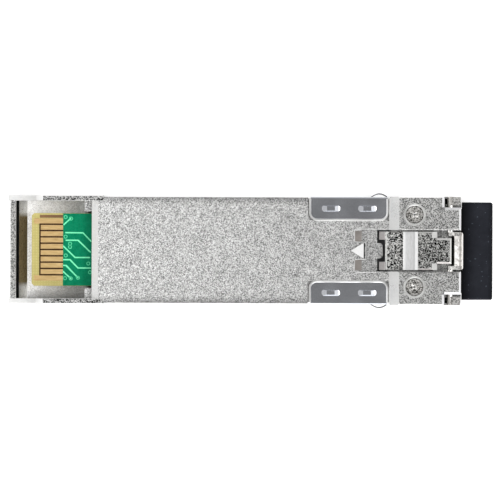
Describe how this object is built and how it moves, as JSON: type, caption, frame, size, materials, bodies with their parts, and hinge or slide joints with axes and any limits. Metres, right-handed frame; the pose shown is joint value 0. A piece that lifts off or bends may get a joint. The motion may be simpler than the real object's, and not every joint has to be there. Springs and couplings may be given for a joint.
{
  "type": "optical transceiver module",
  "caption": "Small pluggable optical transceiver with a card-edge rear, metal shell, shielding collar, sliding release lever on a bail, and a duplex dust plug.",
  "frame": {"origin": "middle of the module's bounding box, on the outer face of the lid", "axes": "+X out of the optical front, +Z out of the latch side, +Y across the module"},
  "size_m": [0.0612, 0.0146, 0.0098],
  "materials": {
    "zinc_cast": "bead-blasted, nickel-plated die casting",
    "label_film": "satin film, blank",
    "screw_steel": "plated",
    "collar_steel": "smooth rolled sheet",
    "lever_metal": "coarse blasted",
    "spring_steel": "drawn wire",
    "bail_metal": "bright cast",
    "receptacle_plastic": "moulded",
    "plug_rubber": "matte moulded",
    "can_steel": "turned",
    "sleeve_ceramic": "ground ceramic",
    "retainer_plastic": "moulded",
    "board_laminate": "solder mask over laminate",
    "contact_gold": "hard gold plate",
    "chip_moulding": "moulded epoxy",
    "thermal_gel": "soft gap filler",
    "capacitor_ceramic": "sintered",
    "flex_film": "polyimide film"
  },
  "bodies": {
    "housing": {"top_cover": "zinc_cast", "rating_label": "label_film", "base_housing": "zinc_cast", "housing_screws": "screw_steel", "emi_collar": "collar_steel", "lever_spring": "spring_steel", "lc_receptacle": "receptacle_plastic", "tosa_can": "can_steel", "tosa_barrel": "can_steel", "rosa_can": "can_steel", "rosa_barrel": "can_steel", "alignment_sleeves": "sleeve_ceramic", "ferrule_stubs": "sleeve_ceramic", "osa_retainer": "retainer_plastic", "circuit_board": "board_laminate", "contacts_latch_side": "contact_gold", "contacts_lid_side": "contact_gold", "laser_driver_chip": "chip_moulding", "microcontroller_chip": "chip_moulding", "limiting_amplifier_chip": "chip_moulding", "memory_chip": "chip_moulding", "thermal_pad": "thermal_gel", "capacitors": "capacitor_ceramic", "tosa_flex": "flex_film", "rosa_flex": "flex_film"},
    "lever": {"release_lever": "lever_metal"},
    "bail": {"bail_shafts": "bail_metal", "bail_crank": "bail_metal", "bail_handle": "bail_metal"},
    "plug": {"dust_plug": "plug_rubber"}
  },
  "joints": [
    {"name": "bail_hinge", "type": "hinge", "parent": "housing", "child": "bail", "pos_m": [0.0253, 0, 0.00825], "axis": [0, -1, 0], "range_deg": [0, 90]},
    {"name": "lever_slide", "type": "slide", "parent": "housing", "child": "lever", "axis": [-1, 0, 0], "range_m": [0, 0.0016], "deforming": ["lever_spring"]},
    {"name": "plug_pull", "type": "slide", "parent": "housing", "child": "plug", "axis": [1, 0, 0], "range_m": [0, 0.015]}
  ],
  "couplings": [
    {"joint": "bail_hinge", "follows": "lever_slide", "rad_per_m": 981.74}
  ]
}
